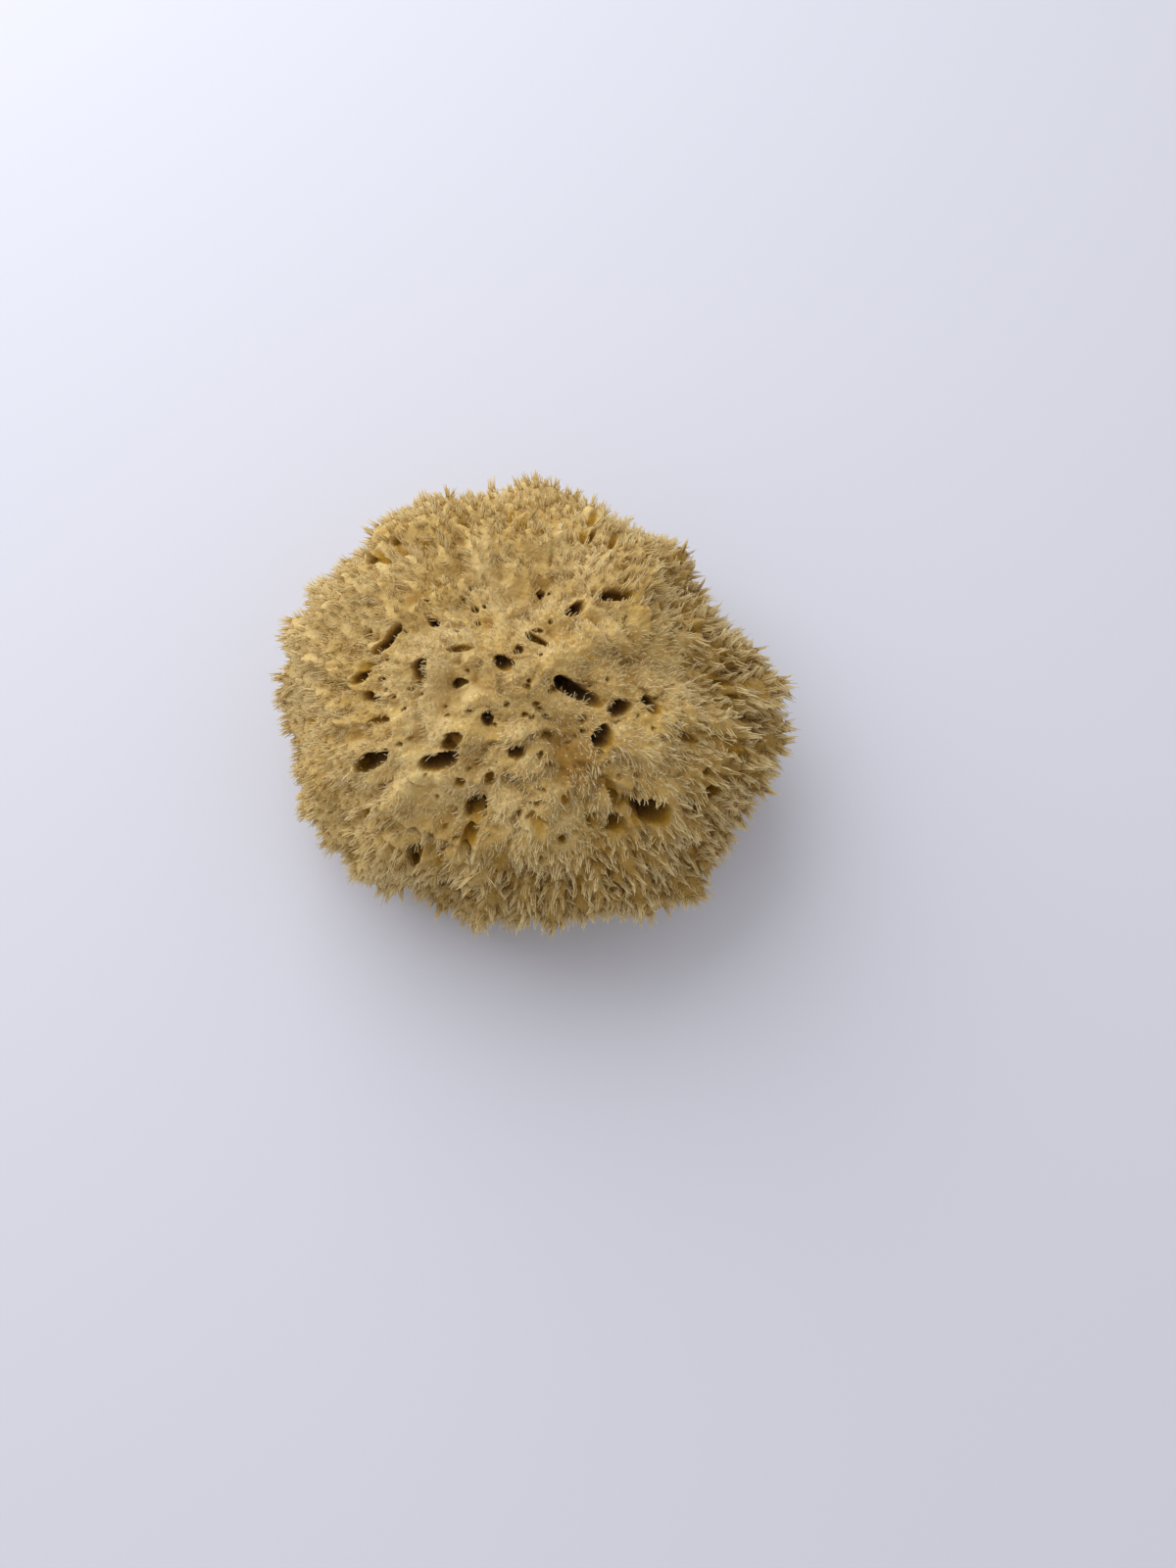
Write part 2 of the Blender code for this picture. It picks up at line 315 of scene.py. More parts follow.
# the scattered pores in mm and degrees, where slimness is the short width over the long one
sidePores = {
    "count": 95,
    "rises": (-0.42, 0.75),
    "mostSeen": 0.45,  # none stands where the eye sees the face
    "least": 1.6,
    "more": 5,
    "rarity": 2.2,
    "slimness": (0.5, 0.9),
    "deeper": 2,
}
rimDips = {
    "count": 60,
    "long": (4, 7.5),
    "short": (1.8, 3),
    "turn": (60, 120),
    "depth": (2.5, 5),
    "elevation": (8, 42),
}
faceDips = {
    "count": 38,
    "reach": 46,
    "inmost": 0.05,
    "long": (4.5, 10),
    "slimness": (0.45, 0.8),
    "depth": (1.6, 3.1),
}
pinholes = {"count": 90, "reach": 42, "long": (1, 1.7), "slimness": 0.8, "depth": 3.5}
basePores = {
    "count": 26,
    "reach": 47,
    "inmost": 0.03,
    "long": (2.5, 8),
    "slimness": (0.6, 0.9),
    "deeper": 3,
}


def makePore(mouth, inward, level, rise, sizes):
    long, short, turn, depth = sizes
    side = level * math.cos(math.radians(turn)) + rise * math.sin(math.radians(turn))
    side = unit(side - inward * (side @ inward))
    up, left = poreSettings["upperSide"]
    upper = up * rise - left * level
    upper = unit(upper - inward * (upper @ inward))
    return {
        "mouth": mouth, "inward": inward, "side": side, "other": np.cross(inward, side), "upper": upper,
        "long": long * mm, "short": short * mm, "depth": depth * mm,
    }


def faceMouths(rows):
    mouths, lines = seenPoints(rows)
    for row, mouth, line in zip(rows, mouths, lines):
        inward = unit(line + unit(waistCentre - mouth))
        yield makePore(mouth, inward, faceAcross, faceUp, row[2:])


def sideRows(chooser):
    rows = []
    while len(rows) < sidePores["count"]:
        azimuth = chooser.uniform(0, 360)
        elevation = math.degrees(math.asin(chooser.uniform(*sidePores["rises"])))
        if unitHeading(azimuth, elevation) @ -sight < sidePores["mostSeen"]:
            long = sidePores["least"] + sidePores["more"] * chooser.random() ** sidePores["rarity"]
            short = long * chooser.uniform(*sidePores["slimness"])
            turn = chooser.uniform(0, 180)
            rows.append((azimuth, elevation, long, short, turn, sidePores["deeper"] + long))
    for _ in range(rimDips["count"]):
        sizes = [chooser.uniform(*rimDips[key]) for key in ("long", "short", "turn", "depth")]
        azimuth = chooser.uniform(0, 360)
        rows.append((azimuth, chooser.uniform(*rimDips["elevation"]), *sizes))
    return rows


def faceRows(chooser):
    rows = []
    for _ in range(faceDips["count"]):
        around = chooser.uniform(0, 2 * math.pi)
        away = faceDips["reach"] * math.sqrt(chooser.uniform(faceDips["inmost"], 1))
        long = chooser.uniform(*faceDips["long"])
        short = long * chooser.uniform(*faceDips["slimness"])
        sizes = (long, short, chooser.uniform(0, 180), chooser.uniform(*faceDips["depth"]))
        rows.append((away * math.cos(around), away * math.sin(around) - poreSettings["faceDrop"], *sizes))
    for _ in range(pinholes["count"]):
        around = chooser.uniform(0, 2 * math.pi)
        away = pinholes["reach"] * math.sqrt(chooser.random())
        long = chooser.uniform(*pinholes["long"])
        sizes = (long, long * pinholes["slimness"], 0, pinholes["depth"])
        rows.append((away * math.cos(around), away * math.sin(around) - poreSettings["faceDrop"], *sizes))
    return rows


def baseMouths(chooser):
    for _ in range(basePores["count"]):
        away = basePores["reach"] * mm * math.sqrt(chooser.uniform(basePores["inmost"], 1))
        around = chooser.uniform(0, 2 * math.pi)
        long = chooser.uniform(*basePores["long"])
        short = long * chooser.uniform(*basePores["slimness"])
        sizes = (long, short, chooser.uniform(0, 180), basePores["deeper"] + long)
        mouth = np.array((away * math.cos(around), away * math.sin(around), 0))
        yield makePore(mouth, np.array((0, 0, 1.0)), faceAcross, np.array((0, 1.0, 0)), sizes)


def placePores():
    chooser = random.Random(poreSettings["seed"])
    scattered = sideRows(chooser)
    pores = [*faceMouths(facePores + smallPores), *faceMouths(faceRows(chooser))]
    for azimuth, elevation, *sizes in hiddenPores + scattered:
        outward = unitHeading(azimuth, elevation)
        level = unit(np.cross((0, 0, 1), outward))
        mouth = bodyPoints(outward[None])[0]
        pores.append(makePore(mouth, -outward, level, np.cross(outward, level), sizes))
    pores += baseMouths(chooser)
    for pore in pores:
        pore["waves"] = []
        for turns in (1, 2, 3, 4):
            size = chooser.uniform(*poreSettings["waves"]) / turns
            pore["waves"].append((size, chooser.uniform(*poreSettings["waveStarts"])))
    return pores


def mouthShare(points, pore, least=0.0):
    # 0 in the middle of the mouth, 1 on its rim
    reach, margin = poreSettings["nearby"]
    offset = points - pore["mouth"]
    near = np.nonzero((offset ** 2).sum(1) < (reach * pore["long"] + margin) ** 2)[0]
    offset = offset[near]
    along = offset @ pore["side"] / (max(pore["long"], least) / 2)
    athwart = offset @ pore["other"] / (max(pore["short"], least) / 2)
    around = np.arctan2(athwart, along)
    edge = 1
    for turns, (size, start) in enumerate(pore["waves"], 1):
        edge = edge + poreSettings["unevenness"] * size * np.sin(turns * around + start)
    raggedSize, ragged = poreSettings["ragged"]
    edge = edge + ragged * noiseAt(points[near] / raggedSize)
    shares = np.full(len(points), poreSettings["farAway"])
    shares[near] = np.hypot(along, athwart) / edge
    return shares


bodyFacets = {
    "subdivisions": 7,
    "fineAbove": 0.22,  # finer facets over the top
    "fineRims": (0.6, 1.2),  # and finer again round each mouth
}


def positionsOf(shape):
    return np.array([vertex.co for vertex in shape.verts])


def setPositions(shape, points):
    for vertex, point in zip(shape.verts, points.tolist()):
        vertex.co = point


def bareBody(pores):
    shape = bmesh.new()
    bmesh.ops.create_icosphere(shape, subdivisions=bodyFacets["subdivisions"], radius=1)
    middles = [(edge.verts[0].co + edge.verts[1].co).normalized() for edge in shape.edges]
    upper = [edge for edge, middle in zip(shape.edges, middles) if middle.z > bodyFacets["fineAbove"]]
    bmesh.ops.subdivide_edges(shape, edges=upper, cuts=1, use_grid_fill=True)
    setPositions(shape, bodyPoints(unit(positionsOf(shape))))
    shape.edges.ensure_lookup_table()
    middles = np.array([(edge.verts[0].co + edge.verts[1].co) / 2 for edge in shape.edges])
    atRim = np.zeros(len(middles), bool)
    low, high = bodyFacets["fineRims"]
    for pore in pores[:len(facePores)]:
        share = mouthShare(middles, pore)
        atRim |= (share > low) & (share < high)
    rims = [shape.edges[index] for index in np.nonzero(atRim)[0]]
    bmesh.ops.subdivide_edges(shape, edges=rims, cuts=1, use_grid_fill=True)
    bmesh.ops.triangulate(shape, faces=[face for face in shape.faces if len(face.verts) > 3])
    setPositions(shape, bodyPoints(unit(positionsOf(shape) - waistCentre)))
    shape.normal_update()
    return shape


# Where the tufts stand

tufts = {
    "spacing": 2.2 * mm,
    "curlSpacing": 1.42 * mm,
    "hiddenSpacing": 2.7 * mm,
    "hiddenBelow": -5 * mm,  # from the face plane
    "leastMouth": 1.8 * mm,
    "mouthMargin": 1.04,
    "lowestRoot": 1.5 * mm,
    "lowestTip": 0.25 * mm,
    "curlLength": 2.2 * mm,
    "shortest": 2.4 * mm,
    "longest": 4.0 * mm,
    "longFrom": (18 * mm, 58 * mm),  # away from the crown
    "lengthLimit": 1.15,
    "lengths": (0.72, 1.12),
    "coarseLength": (0.85, 0.45),
    "patchLength": (0.85, 0.35),
    "patchSize": 11 * mm,
    "creaseLength": 0.35,
    "lipLength": 0.4,
    "width": 1.5 * mm,
    "widths": (0.8, 1.15),
    "sag": 0.35,
    "lean": (0.7, -0.2),
    "lipLean": 0.5,
    "wanderSize": 6 * mm,
    "wander": (0.3, 0.5),
    "jitter": 0.12,
    "upperRim": 0.2,
    "mostHanging": (0.55, 0.2),  # the share that may hang over an upper rim, and over another
    "peakHeight": 1.2 * mm,
    "peakGrowth": (0.55, 0.45),
    "peakWidth": 1.7 * mm,
    "peakPower": 1.4,
    "peakTone": 0.2,
    "startShare": 0.3,  # how far up its peak a tuft starts
    "baseLevel": 0.02 * mm,
    # how much painted shade the creases give the tufts, by coarseness
    "creaseShadeTone": (0.4, 0.8),
    "curlShades": (0.8, 2.2),
    "seed": 5,
}


def scatterRoots(points, pores):
    # body points that keep their distance from each other and from the mouths of the pores
    free = points[:, 2] > tufts["lowestRoot"]
    for pore in pores:
        free &= mouthShare(points, pore, tufts["leastMouth"]) > tufts["mouthMargin"]
    shown = (points - faceMiddle) @ -sight > tufts["hiddenBelow"]
    spacings = np.where(shown, tufts["spacing"], tufts["hiddenSpacing"])
    spacings = tufts["curlSpacing"] + (spacings - tufts["curlSpacing"]) * furAt(points)
    chooser = random.Random(tufts["seed"])
    order = np.nonzero(free)[0].tolist()
    chooser.shuffle(order)
    cell = tufts["hiddenSpacing"]
    taken = {}
    roots = []
    for index in order:
        point = points[index]
        least = spacings[index] ** 2
        box = tuple(int(part // cell) for part in point)
        near = [
            other
            for x in (-1, 0, 1) for y in (-1, 0, 1) for z in (-1, 0, 1)
            for other in taken.get((box[0] + x, box[1] + y, box[2] + z), ())
        ]
        if all(sum((here - there) ** 2 for here, there in zip(point, other)) > least for other in near):
            taken.setdefault(box, []).append(tuple(point))
            roots.append(index)
    return np.array(roots)


def layTufts(points, normals, creases):
    # which way each tuft grows and how long it is: away from the crown, longest at the rim
    across, upward = fromCrown(points)
    away = np.hypot(across, upward)
    fur = furAt(points)
    coarse = coarseAt(points)
    lips = lipsAt(points)
    outOfCrown = points - seenCrown
    flow = unit(outOfCrown - normals * (outOfCrown * normals).sum(1, keepdims=True))
    flow -= tufts["sag"] * faceUp
    lean = growing(tufts["lean"], fur) + tufts["lipLean"] * lips
    wander = np.array([noise.noise_vector(point) for point in (points / tufts["wanderSize"]).tolist()])
    wander *= growing(tufts["wander"], coarse)[:, None]
    jitter = np.random.default_rng(tufts["seed"]).normal(0, tufts["jitter"], points.shape)
    headings = unit(normals + flow * lean[:, None] + wander + jitter * (2 - fur[:, None]))
    patches = 0.5 + 0.5 * noiseAt(points / tufts["patchSize"] + shifts["patches"])
    lengths = tufts["shortest"] + (tufts["longest"] - tufts["shortest"]) * smooth(away, *tufts["longFrom"])
    lengths = tufts["curlLength"] * (1 - fur) + lengths * fur
    growth = growing(tufts["patchLength"], patches) - tufts["creaseLength"] * creases
    lengths *= growth * (1 + tufts["lipLength"] * lips) * growing(tufts["coarseLength"], coarse)
    lengths *= np.random.default_rng(tufts["seed"] + 1).uniform(*tufts["lengths"], len(points))
    isFur = np.random.default_rng(tufts["seed"] + 4).random(len(points)) < fur
    return headings, flow, np.minimum(lengths, tufts["lengthLimit"] * tufts["longest"]), isFur


def coversAMouth(points, headings, lengths, pores):
    # tufts that would hang over a pore, except for a few at the upper rims
    ends = points + headings * lengths[:, None]
    covers = np.zeros(len(points), bool)
    chances = np.random.default_rng(tufts["seed"] + 5).random(len(points))
    for pore in pores:
        if pore["depth"] > poreSettings["softDepth"]:
            over = np.minimum(mouthShare(ends, pore), mouthShare((points + ends) / 2, pore)) < 1
            above = (points - pore["mouth"]) @ pore["upper"] > tufts["upperRim"] * pore["short"]
            covers |= over & (chances > np.where(above, *tufts["mostHanging"]))
    return covers


# Prototypes of a tuft, one unit tall and two across: a comb of fibres with paler ends, and a few
# short hairs at its foot. The fibres of fur draw together at their ends and those of soft fur and
# curls spread.

furShapes = {
    "kinds": 12,
    "fibres": (8, 9, 7, 9),
    "fibreSides": 3,
    "fibreRings": 2,
    "fibreRadius": 0.15,
    "radii": (0.8, 1.2),
    "blunt": 0.4,
    "shorter": (0.4, 0.9),
    "turns": (-0.5, 0.5),
    "spread": (0.15, 0.85),
    "footSpread": 1.0,
    "tipSpread": 0.4,
    "curl": 0.3,
    "curls": (0.3, 1),
    "curlPower": 2.2,
    "droop": 0.15,
    "footTone": 0.15,
    "tonePower": 0.6,  # a shorter fibre is less pale
    "hairs": 3,
    "hairRadius": 0.06,
    "hairTaper": 0.6,
    "hairStart": -0.05,
    "hairFeet": (0.1, 1),
    "hairRises": (0.15, 0.4),
    "hairReaches": (0.1, 0.5),
    "hairTones": (0.3, 0.4),
    "seed": 31,
}
softShapes = {**furShapes, "footSpread": 0.7, "tipSpread": 1.0, "seed": 41}
curlShapes = {
    **furShapes,
    "kinds": 14,
    "fibres": (4, 5, 6, 4),
    "fibreRadius": 0.085,
    "blunt": 0.55,
    "shorter": (0.45, 1.0),
    "spread": (0.1, 1.0),
    "footSpread": 0.3,
    "tipSpread": 1.0,
    "curl": 0.6,
    "footTone": 0.4,
    "hairRadius": 0.055,
    "seed": 37,
}


def column(sides, rings, outline, place):
    # a closed round column of unit height, each ring sized by outline and moved by place
    shape = bmesh.new()
    upright = Matrix.Translation((0, 0, 0.5))
    bmesh.ops.create_cone(
        shape, cap_ends=True, segments=sides, radius1=1, radius2=1, depth=1, matrix=upright,
    )
    rising = [edge for edge in shape.edges if abs(edge.verts[0].co.z - edge.verts[1].co.z) > 0.5]
    if rings > 0:
        bmesh.ops.subdivide_edges(shape, edges=rising, cuts=rings, use_grid_fill=True)
    bmesh.ops.triangulate(shape, faces=shape.faces)
    bmesh.ops.recalc_face_normals(shape, faces=shape.faces)
    heights = positionsOf(shape)[:, 2]
    for vertex in shape.verts:
        size = outline(vertex.co.z)
        vertex.co = place(Vector((vertex.co.x * size, vertex.co.y * size, vertex.co.z)))
    shape.verts.index_update()
    corners = np.array([[vertex.index for vertex in face.verts] for face in shape.faces])
    places = positionsOf(shape)
    shape.free()
    return places, heights, corners


def fibre(chooser, shapes, turn, length):
    lean = Vector((math.cos(turn), math.sin(turn))) * chooser.uniform(*shapes["spread"])
    around = chooser.uniform(0, 2 * math.pi)
    curl = Vector((math.cos(around), math.sin(around))) * chooser.uniform(*shapes["curls"]) * shapes["curl"]
    curl.x += shapes["droop"]
    radius = shapes["fibreRadius"] * chooser.uniform(*shapes["radii"])

    def outline(height):
        return radius * (1 - (1 - shapes["blunt"]) * height)

    def place(point):
        height = point.z
        spread = shapes["footSpread"] * (1 - height) + shapes["tipSpread"] * height
        shift = lean * spread + curl * height ** shapes["curlPower"]
        return Vector((point.x + shift.x, point.y + shift.y, length * height))

    places, heights, corners = column(shapes["fibreSides"], shapes["fibreRings"], outline, place)
    foot = shapes["footTone"]
    return places, (foot + (1 - foot) * heights) * length ** shapes["tonePower"], corners


def hair(chooser, shapes):
    turn = chooser.uniform(0, 2 * math.pi)
    out = Vector((math.cos(turn), math.sin(turn)))
    foot = chooser.uniform(*shapes["hairFeet"])
    rise = chooser.uniform(*shapes["hairRises"])
    reach = chooser.uniform(*shapes["hairReaches"])

    def outline(height):
        return shapes["hairRadius"] * (1 - shapes["hairTaper"] * height)

    def place(point):
        shift = out * (foot + reach * point.z)
        return Vector((point.x + shift.x, point.y + shift.y, shapes["hairStart"] + rise * point.z))

    places, heights, corners = column(shapes["fibreSides"], 0, outline, place)
    return places, growing(shapes["hairTones"], heights), corners


def tuftPrototype(chooser, shapes, fibres):
    parts = []
    firstTurn = chooser.uniform(0, 2 * math.pi)
    for index in range(fibres):
        turn = firstTurn + 2 * math.pi * index / fibres + chooser.uniform(*shapes["turns"])
        length = 1 if index == 0 else chooser.uniform(*shapes["shorter"])
        parts.append(fibre(chooser, shapes, turn, length))
    parts += [hair(chooser, shapes) for _ in range(shapes["hairs"])]
    starts = np.cumsum([0] + [len(places) for places, _, _ in parts])
    return (
        np.concatenate([places for places, _, _ in parts]),
        np.concatenate([tips for _, tips, _ in parts]),
        np.concatenate([corners + start for (_, _, corners), start in zip(parts, starts)]),
    )


def allPrototypes(shapes):
    chooser = random.Random(shapes["seed"])
    fibres = shapes["fibres"]
    return [tuftPrototype(chooser, shapes, fibres[kind % len(fibres)]) for kind in range(shapes["kinds"])]


def tuftBases(normals, headings, flows):
    # each tuft stands on the surface and leans: x runs the way it bends, y across, z along it
    ahead = unit(flows - normals * (flows * normals).sum(1, keepdims=True))
    return np.stack([ahead, np.cross(normals, ahead), headings], 2)


def newPiece(name, mesh, material):
    mesh.materials.append(material)
    mesh.shade_smooth()
    piece = bpy.data.objects.new(name, mesh)
    bpy.context.scene.collection.objects.link(piece)
    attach(piece, "root")
    return piece


def setAttribute(mesh, name, values):
    mesh.attributes.new(name, "FLOAT", "POINT").data.foreach_set("value", np.asarray(values, np.float32))


def joinTufts(name, material, prototypes, chosen, roots, bases, lengths, widths, facts):
    # joined copies of the prototypes, one for each root
    places, corners = [], []
    gathered = {key: [] for key in ("tip", *facts)}
    count = 0
    for kind, (shapePlaces, tips, shapeCorners) in enumerate(prototypes):
        mine = np.nonzero(chosen == kind)[0]
        scales = np.stack([widths[mine], widths[mine], lengths[mine]], 1)
        local = shapePlaces[None] * scales[:, None]
        world = roots[mine][:, None] + np.einsum("nij,nvj->nvi", bases[mine], local)
        places.append(world.reshape(-1, 3))
        starts = count + np.arange(len(mine)) * len(shapePlaces)
        corners.append((shapeCorners[None] + starts[:, None, None]).reshape(-1, 3))
        count += len(mine) * len(shapePlaces)
        gathered["tip"].append(np.tile(tips, len(mine)))
        for key, values in facts.items():
            gathered[key].append(np.repeat(values[mine], len(shapePlaces)))
    places = np.concatenate(places)
    places[:, 2] = np.maximum(places[:, 2], tufts["lowestTip"])
    mesh = bpy.data.meshes.new(name)
    mesh.from_pydata(places, [], np.concatenate(corners))
    for key, values in gathered.items():
        setAttribute(mesh, key, np.concatenate(values))
    print(name, len(mesh.polygons), "triangles")
    return newPiece(name, mesh, material)


# Materials

class Link:
    # a socket that Python expressions can work on
    def __init__(self, shader, socket):
        self.shader = shader
        self.socket = socket

    def maths(self, operation, first, second):
        return self.shader.node("ShaderNodeMath", {"operation": operation}, {0: first, 1: second})

    def __add__(self, other):
        return self.maths("ADD", self, other)

    def __radd__(self, other):
        return self.maths("ADD", other, self)

    def __rsub__(self, other):
        return self.maths("SUBTRACT", other, self)

    def __mul__(self, other):
        return self.maths("MULTIPLY", self, other)

    def __rmul__(self, other):
        return self.maths("MULTIPLY", other, self)


class Shader:
    def __init__(self, name):
        self.material = bpy.data.materials.new(name)
        self.material.use_nodes = True
        self.tree = self.material.node_tree
        self.surface = self.tree.nodes["Principled BSDF"]

    def node(self, kind, settings=None, sockets=None, output=0):
        made = self.tree.nodes.new(kind)
        for key, value in (settings or {}).items():
            setattr(made, key, value)
        for key, value in (sockets or {}).items():
            self.feed(made.inputs[key], value)
        return Link(self, made.outputs[output])

    def feed(self, socket, value):
        if isinstance(value, Link):
            self.tree.links.new(value.socket, socket)
        else:
            socket.default_value = value

    def finish(self, **sockets):
        for key, value in sockets.items():
            self.feed(self.surface.inputs[key.replace("_", " ")], value)
        return self.material

    def fact(self, name):
        return self.node("ShaderNodeAttribute", {"attribute_name": name}, output=2)

    def places(self):
        return self.node("ShaderNodeTexCoord", output=3)

    def clouds(self, size, detail=3.0):
        sockets = {"Vector": self.places(), "Scale": 1 / size, "Detail": detail}
        return self.node("ShaderNodeTexNoise", {}, sockets)

    def cells(self, size):
        return self.node("ShaderNodeTexVoronoi", {}, {"Vector": self.places(), "Scale": 1 / size})

    def between(self, value, low, high):
        settings = {"interpolation_type": "SMOOTHSTEP"}
        return self.node("ShaderNodeMapRange", settings, {0: value, 1: low, 2: high})

    def blend(self, share, first, second):
        sockets = {0: share, 6: first, 7: second}
        return self.node("ShaderNodeMix", {"data_type": "RGBA"}, sockets, output=2)

    def bump(self, height, distance):
        return self.node("ShaderNodeBump", {}, {"Height": height, "Distance": distance})


baldSpot = {"middle": (12, -15), "spread": 7.5 * mm, "bare": 0.8}
# across and up on the face plane in mm, spread in mm, and how strong
# browner patches on the face
darkPatches = [
    (27, 11, 6, 0.8), (12, -15, 11, 0.95), (-7, 8, 7, 0.6), (-30, 7, 8, 0.5), (-15, -22, 8, 0.6),
    (3, -24, 10, 0.5), (33, 1, 8, 0.4), (-24, 13, 8, 0.35), (18, 3, 8, 0.45), (-45, -10, 8, 0.45),
    (27, -27, 10, 0.5), (-18, -40, 7, 0.4), (0, 24, 7, 0.3), (42, -20, 8, 0.3), (8, 34, 6, 0.3),
]


def darkPatchAt(points):
    strength = np.zeros(len(points))
    middles, _ = seenPoints(darkPatches)
    for (_, _, spread, share), middle in zip(darkPatches, middles):
        distance = np.linalg.norm(points - middle, axis=1)
        strength = np.maximum(strength, share * np.exp(-((distance / (spread * mm)) ** 2)))
    return strength


def baldAt(points):
    middle = seenPoints([baldSpot["middle"]])[0][0]
    return np.exp(-((np.linalg.norm(points - middle, axis=1) / baldSpot["spread"]) ** 2))


colours = {
    "pale": (0.80, 0.61, 0.28, 1),
    "beige": (0.67, 0.47, 0.17, 1),
    # the sponge's browner colour in the pores, also used for painted shade there and at the foot of the
    # coarse tufts
    "ochre": (0.47, 0.265, 0.026, 1),
    "shadeBrown": (0.24, 0.12, 0.008, 1),
    # painted shade at the bottoms of the pores
    "deepShade": (0.095, 0.045, 0.005, 1),
    "darkPatch": (0.32, 0.16, 0.015, 1),
    "pinkish": (0.34, 0.18, 0.035, 1),
    "rust": (0.17, 0.07, 0.02, 1),
    "cream": (0.97, 0.83, 0.48, 1),
}
# sizes of the patterns, and where each tone begins and is full
tones = {
    "patchSize": 16 * mm,
    "patchDetail": 2.0,
    "patches": (0.38, 0.66),
    "fineSize": 3.5 * mm,
    "fine": (0.35, 0.7),
    "low": (0.0, 0.35),
    "lowOchreAndShade": (0.05, 0.2, 0.3, 0.4),  # partly its own deeper colour, partly painted shade: everywhere, and by fine patches, creases and coarseness
    # painted shade in the creases of the coarse fur
    "creaseShadeOchre": 0.3,
    # a deeper, browner painted shade at the foot of the coarse tufts, more in the creases
    "creaseShadeBrown": (0.5, 0.5),
    "darkPatch": (0.6, 0.4),
    "spotSize": 2.4 * mm,
    "spots": (0.36, 0.2),
    "spotsElsewhere": 0.25,
    "pinkish": 0.6,
    # browner down the pores, then painted shade deepening to their bottoms
    "poreShadeOchre": (0.02, 0.3),
    "poreShadeBrown": (0.22, 0.65),
    "poreShadeDark": (0.55, 0.95),
}


def spongeColour(shader):
    # beige; ochre low down, partly its own deeper colour and partly painted shade, with more painted shade
    # in the creases and at the foot of the coarse tufts;
    # browner down the pores, deepening to painted shade at their bottoms, and pinkish where it is bald
    patches = shader.between(shader.clouds(tones["patchSize"], tones["patchDetail"]), *tones["patches"])
    colour = shader.blend(patches, colours["beige"], colours["pale"])
    fine = shader.between(shader.clouds(tones["fineSize"]), *tones["fine"])
    low = 1 - shader.between(shader.fact("tip"), *tones["low"])
    creaseShade = shader.fact("creaseShade")
    coarse = shader.fact("coarse")
    everywhere, byFine, byCrease, byCoarse = tones["lowOchreAndShade"]
    # ochre low down: partly the sponge's own deeper colour, partly painted shade, more in the creases and
    # towards the lower right
    ochre = low * (everywhere + fine * byFine + creaseShade * byCrease + coarse * byCoarse)
    colour = shader.blend(ochre, colour, colours["ochre"])
    # painted shade in the creases, stronger in the coarse fur
    colour = shader.blend(creaseShade * coarse * tones["creaseShadeOchre"], colour, colours["ochre"])
    # painted shade, browner, in the gaps at the foot of the coarse tufts
    shadeBrown = low * low * coarse * growing(tones["creaseShadeBrown"], creaseShade)
    colour = shader.blend(shadeBrown, colour, colours["shadeBrown"])
    darkPatch = shader.fact("darkPatch") * growing(tones["darkPatch"], fine)
    colour = shader.blend(darkPatch, colour, colours["darkPatch"])
    spots = shader.between(shader.cells(tones["spotSize"]), *tones["spots"])
    bald = shader.fact("bald")
    colour = shader.blend(bald * tones["pinkish"], colour, colours["pinkish"])
    rust = (bald + tones["spotsElsewhere"] * patches * low) * spots * fine
    colour = shader.blend(rust, colour, colours["rust"])
    # the pores' own browner colour, with painted shade that deepens with depth and up the upper side
    poreShadeAndBrown = shader.fact("poreShadeAndBrown")
    colour = shader.blend(shader.between(poreShadeAndBrown, *tones["poreShadeOchre"]), colour, colours["ochre"])
    colour = shader.blend(shader.between(poreShadeAndBrown, *tones["poreShadeBrown"]), colour, colours["shadeBrown"])
    return shader.blend(shader.between(poreShadeAndBrown, *tones["poreShadeDark"]), colour, colours["deepShade"])


felt = {
    "grain": (0.9 * mm, 0.6),
    "grainDetail": 4.0,
    "pits": (1.1 * mm, 0.4),
    "bump": 0.9 * mm,
    "fleckSize": 1.2 * mm,  # the pale ends of fibres that lie in the felt
    "flecks": (0.42, 0.15),
    "fleckCloudSize": 0.7 * mm,
    "fleckClouds": (0.42, 0.6),
    "fleckDepth": (0, 0.3),
    "fleckStrength": 0.65,
    "inFur": 0.75,  # how much less of the felt shows under fur
    "inDips": 0.7,  # how much less coarse a soft dip is
}


def bodyMaterial():
    shader = Shader("spongeBody")
    grainSize, grain = felt["grain"]
    pitSize, pit = felt["pits"]
    clouds = shader.clouds(grainSize, felt["grainDetail"])
    height = clouds * grain + shader.cells(pitSize) * pit
    flecks = shader.between(shader.cells(felt["fleckSize"]), *felt["flecks"])
    flecks = flecks * shader.between(shader.clouds(felt["fleckCloudSize"]), *felt["fleckClouds"])
    flecks = flecks * shader.fact("felt") * (1 - shader.between(shader.fact("poreShadeAndBrown"), *felt["fleckDepth"]))
    colour = shader.blend(flecks * felt["fleckStrength"], spongeColour(shader), colours["cream"])
    return shader.finish(
        Base_Color=colour, Roughness=0.92, Normal=shader.bump(height, felt["bump"]),
        Sheen_Weight=0.15, Sheen_Roughness=0.5, Specular_IOR_Level=0.15,
        Subsurface_Weight=0.35, Subsurface_Radius=(1, 0.65, 0.3), Subsurface_Scale=1.5 * mm,
    )


furTones = {
    "paleFrom": (0.35, 0.95),  # up the fibre
    "paleByShade": (0.35, 0.6),
    # ends less pale at the upper left, where the light falls strongest: painted to soften the highlights
    # there
    "paleByCoarse": (0.5, 0.5),
    "bumpSize": 0.6 * mm,
    "bump": 0.2 * mm,
}


